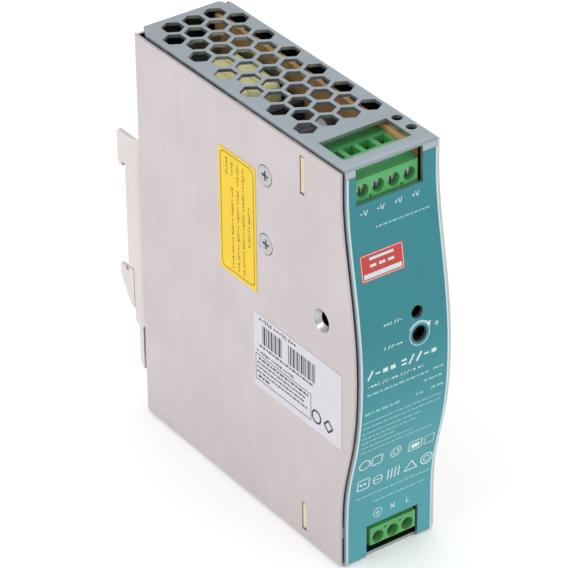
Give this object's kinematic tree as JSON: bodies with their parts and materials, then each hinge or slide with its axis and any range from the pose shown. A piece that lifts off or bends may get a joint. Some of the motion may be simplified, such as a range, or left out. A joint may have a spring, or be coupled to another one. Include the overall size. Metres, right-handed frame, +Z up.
{
  "type": "din rail power supply",
  "caption": "Narrow DIN rail power supply in a steel case with a curved label front, vented top, green screw terminals and a sprung rail clip.",
  "frame": {"origin": "centre of the base of the bounding box, labels and rail clip included", "axes": "+Z up along the tall side, -Y towards the curved front with the terminals, +Y towards the rail, X across the narrow width"},
  "size_m": [0.0321, 0.1134, 0.1252],
  "materials": {
    "cover_steel": "satin zinc plate",
    "chassis_steel": "satin",
    "clip_steel": "satin",
    "screw_steel": "bright zinc plate",
    "plated_brass": "tin plated",
    "teal_label": "printed film",
    "yellow_paper": "printed",
    "white_paper": "printed",
    "terminal_green": "moulded",
    "board": "resin board",
    "black_film": "film",
    "black_plastic": "moulded",
    "blue_plastic": "moulded",
    "yellow_plastic": "moulded",
    "green_lens": "clear tinted",
    "green_dip": "dipped",
    "ferrite": "ground",
    "yellow_tape": "film tape",
    "pale_sleeve": "shrunk sleeve",
    "dark_sleeve": "shrunk sleeve",
    "copper_wire": "enamelled",
    "aluminium": "mill"
  },
  "bodies": {
    "case": {"front_cover": "cover_steel", "chassis": "chassis_steel", "front_label": "teal_label", "yellow_sticker": "yellow_paper", "white_sticker": "white_paper", "side_screw_1": "screw_steel", "side_screw_2": "screw_steel", "output_terminal_body": "terminal_green", "input_terminal_body": "terminal_green", "main_board": "board", "output_board": "board", "input_board": "board", "insulation_sheet": "black_film", "adjuster_body": "black_plastic", "status_lamp": "green_lens", "transformer_core": "ferrite", "transformer_bobbin": "black_plastic", "transformer_winding": "yellow_tape", "output_capacitor_1": "dark_sleeve", "output_capacitor_2": "dark_sleeve", "bulk_capacitor": "dark_sleeve", "filter_capacitor": "yellow_plastic", "safety_capacitor": "blue_plastic", "fuse": "pale_sleeve", "thermistor": "green_dip", "surge_varistor": "blue_plastic", "line_choke_core": "ferrite", "line_choke_coil": "copper_wire", "bridge_rectifier": "black_plastic", "primary_heatsink": "aluminium", "switching_transistor": "black_plastic", "secondary_heatsink": "aluminium", "output_diode": "black_plastic", "output_inductor": "copper_wire", "controller_chip": "black_plastic", "optocoupler": "black_plastic", "rail_bracket": "clip_steel", "guide_rivet_1": "screw_steel", "guide_rivet_2": "screw_steel", "latch_spring": "screw_steel"},
    "latch": {"rail_latch": "clip_steel"},
    "adjuster": {"adjuster_rotor": "black_plastic"},
    "out_screw_1": {"output_screw_1": "screw_steel"},
    "out_screw_2": {"output_screw_2": "screw_steel"},
    "out_screw_3": {"output_screw_3": "screw_steel"},
    "out_screw_4": {"output_screw_4": "screw_steel"},
    "out_cage_1": {"output_cage_1": "plated_brass"},
    "out_cage_2": {"output_cage_2": "plated_brass"},
    "out_cage_3": {"output_cage_3": "plated_brass"},
    "out_cage_4": {"output_cage_4": "plated_brass"},
    "in_screw_1": {"input_screw_1": "screw_steel"},
    "in_screw_2": {"input_screw_2": "screw_steel"},
    "in_screw_3": {"input_screw_3": "screw_steel"},
    "in_cage_1": {"input_cage_1": "plated_brass"},
    "in_cage_2": {"input_cage_2": "plated_brass"},
    "in_cage_3": {"input_cage_3": "plated_brass"}
  },
  "joints": [
    {"name": "latch_pull", "type": "slide", "parent": "case", "child": "latch", "axis": [0, 0, -1], "range_m": [0, 0.0045], "stiffness_N_per_m": 2000, "springref_m": -0.003, "deforming": ["latch_spring"]},
    {"name": "voltage_adjust", "type": "hinge", "parent": "case", "child": "adjuster", "pos_m": [0.0048, -0.0524, 0.0721], "axis": [0, 1, 0], "range_deg": [-135, 135]},
    {"name": "out_turn_1", "type": "hinge", "parent": "case", "child": "out_screw_1", "pos_m": [-0.0086, -0.0485, 0.1169], "axis": [0, 1, 0], "range_deg": [0, 1800]},
    {"name": "out_turn_2", "type": "hinge", "parent": "case", "child": "out_screw_2", "pos_m": [-0.0036, -0.0485, 0.1169], "axis": [0, 1, 0], "range_deg": [0, 1800]},
    {"name": "out_turn_3", "type": "hinge", "parent": "case", "child": "out_screw_3", "pos_m": [0.0014, -0.0485, 0.1169], "axis": [0, 1, 0], "range_deg": [0, 1800]},
    {"name": "out_turn_4", "type": "hinge", "parent": "case", "child": "out_screw_4", "pos_m": [0.0064, -0.0485, 0.1169], "axis": [0, 1, 0], "range_deg": [0, 1800]},
    {"name": "in_turn_1", "type": "hinge", "parent": "case", "child": "in_screw_1", "pos_m": [-0.0036, -0.0485, 0.006], "axis": [0, 1, 0], "range_deg": [0, 1800]},
    {"name": "in_turn_2", "type": "hinge", "parent": "case", "child": "in_screw_2", "pos_m": [0.0014, -0.0485, 0.006], "axis": [0, 1, 0], "range_deg": [0, 1800]},
    {"name": "in_turn_3", "type": "hinge", "parent": "case", "child": "in_screw_3", "pos_m": [0.0064, -0.0485, 0.006], "axis": [0, 1, 0], "range_deg": [0, 1800]},
    {"name": "out_clamp_1", "type": "slide", "parent": "case", "child": "out_cage_1", "axis": [0, -1, 0], "range_m": [0, 0.0025]},
    {"name": "out_clamp_2", "type": "slide", "parent": "case", "child": "out_cage_2", "axis": [0, -1, 0], "range_m": [0, 0.0025]},
    {"name": "out_clamp_3", "type": "slide", "parent": "case", "child": "out_cage_3", "axis": [0, -1, 0], "range_m": [0, 0.0025]},
    {"name": "out_clamp_4", "type": "slide", "parent": "case", "child": "out_cage_4", "axis": [0, -1, 0], "range_m": [0, 0.0025]},
    {"name": "in_clamp_1", "type": "slide", "parent": "case", "child": "in_cage_1", "axis": [0, -1, 0], "range_m": [0, 0.0025]},
    {"name": "in_clamp_2", "type": "slide", "parent": "case", "child": "in_cage_2", "axis": [0, -1, 0], "range_m": [0, 0.0025]},
    {"name": "in_clamp_3", "type": "slide", "parent": "case", "child": "in_cage_3", "axis": [0, -1, 0], "range_m": [0, 0.0025]}
  ],
  "couplings": [
    {"joint": "out_turn_1", "follows": "out_clamp_1", "rad_per_m": 12566},
    {"joint": "out_turn_2", "follows": "out_clamp_2", "rad_per_m": 12566},
    {"joint": "out_turn_3", "follows": "out_clamp_3", "rad_per_m": 12566},
    {"joint": "out_turn_4", "follows": "out_clamp_4", "rad_per_m": 12566},
    {"joint": "in_turn_1", "follows": "in_clamp_1", "rad_per_m": 12566},
    {"joint": "in_turn_2", "follows": "in_clamp_2", "rad_per_m": 12566},
    {"joint": "in_turn_3", "follows": "in_clamp_3", "rad_per_m": 12566}
  ]
}
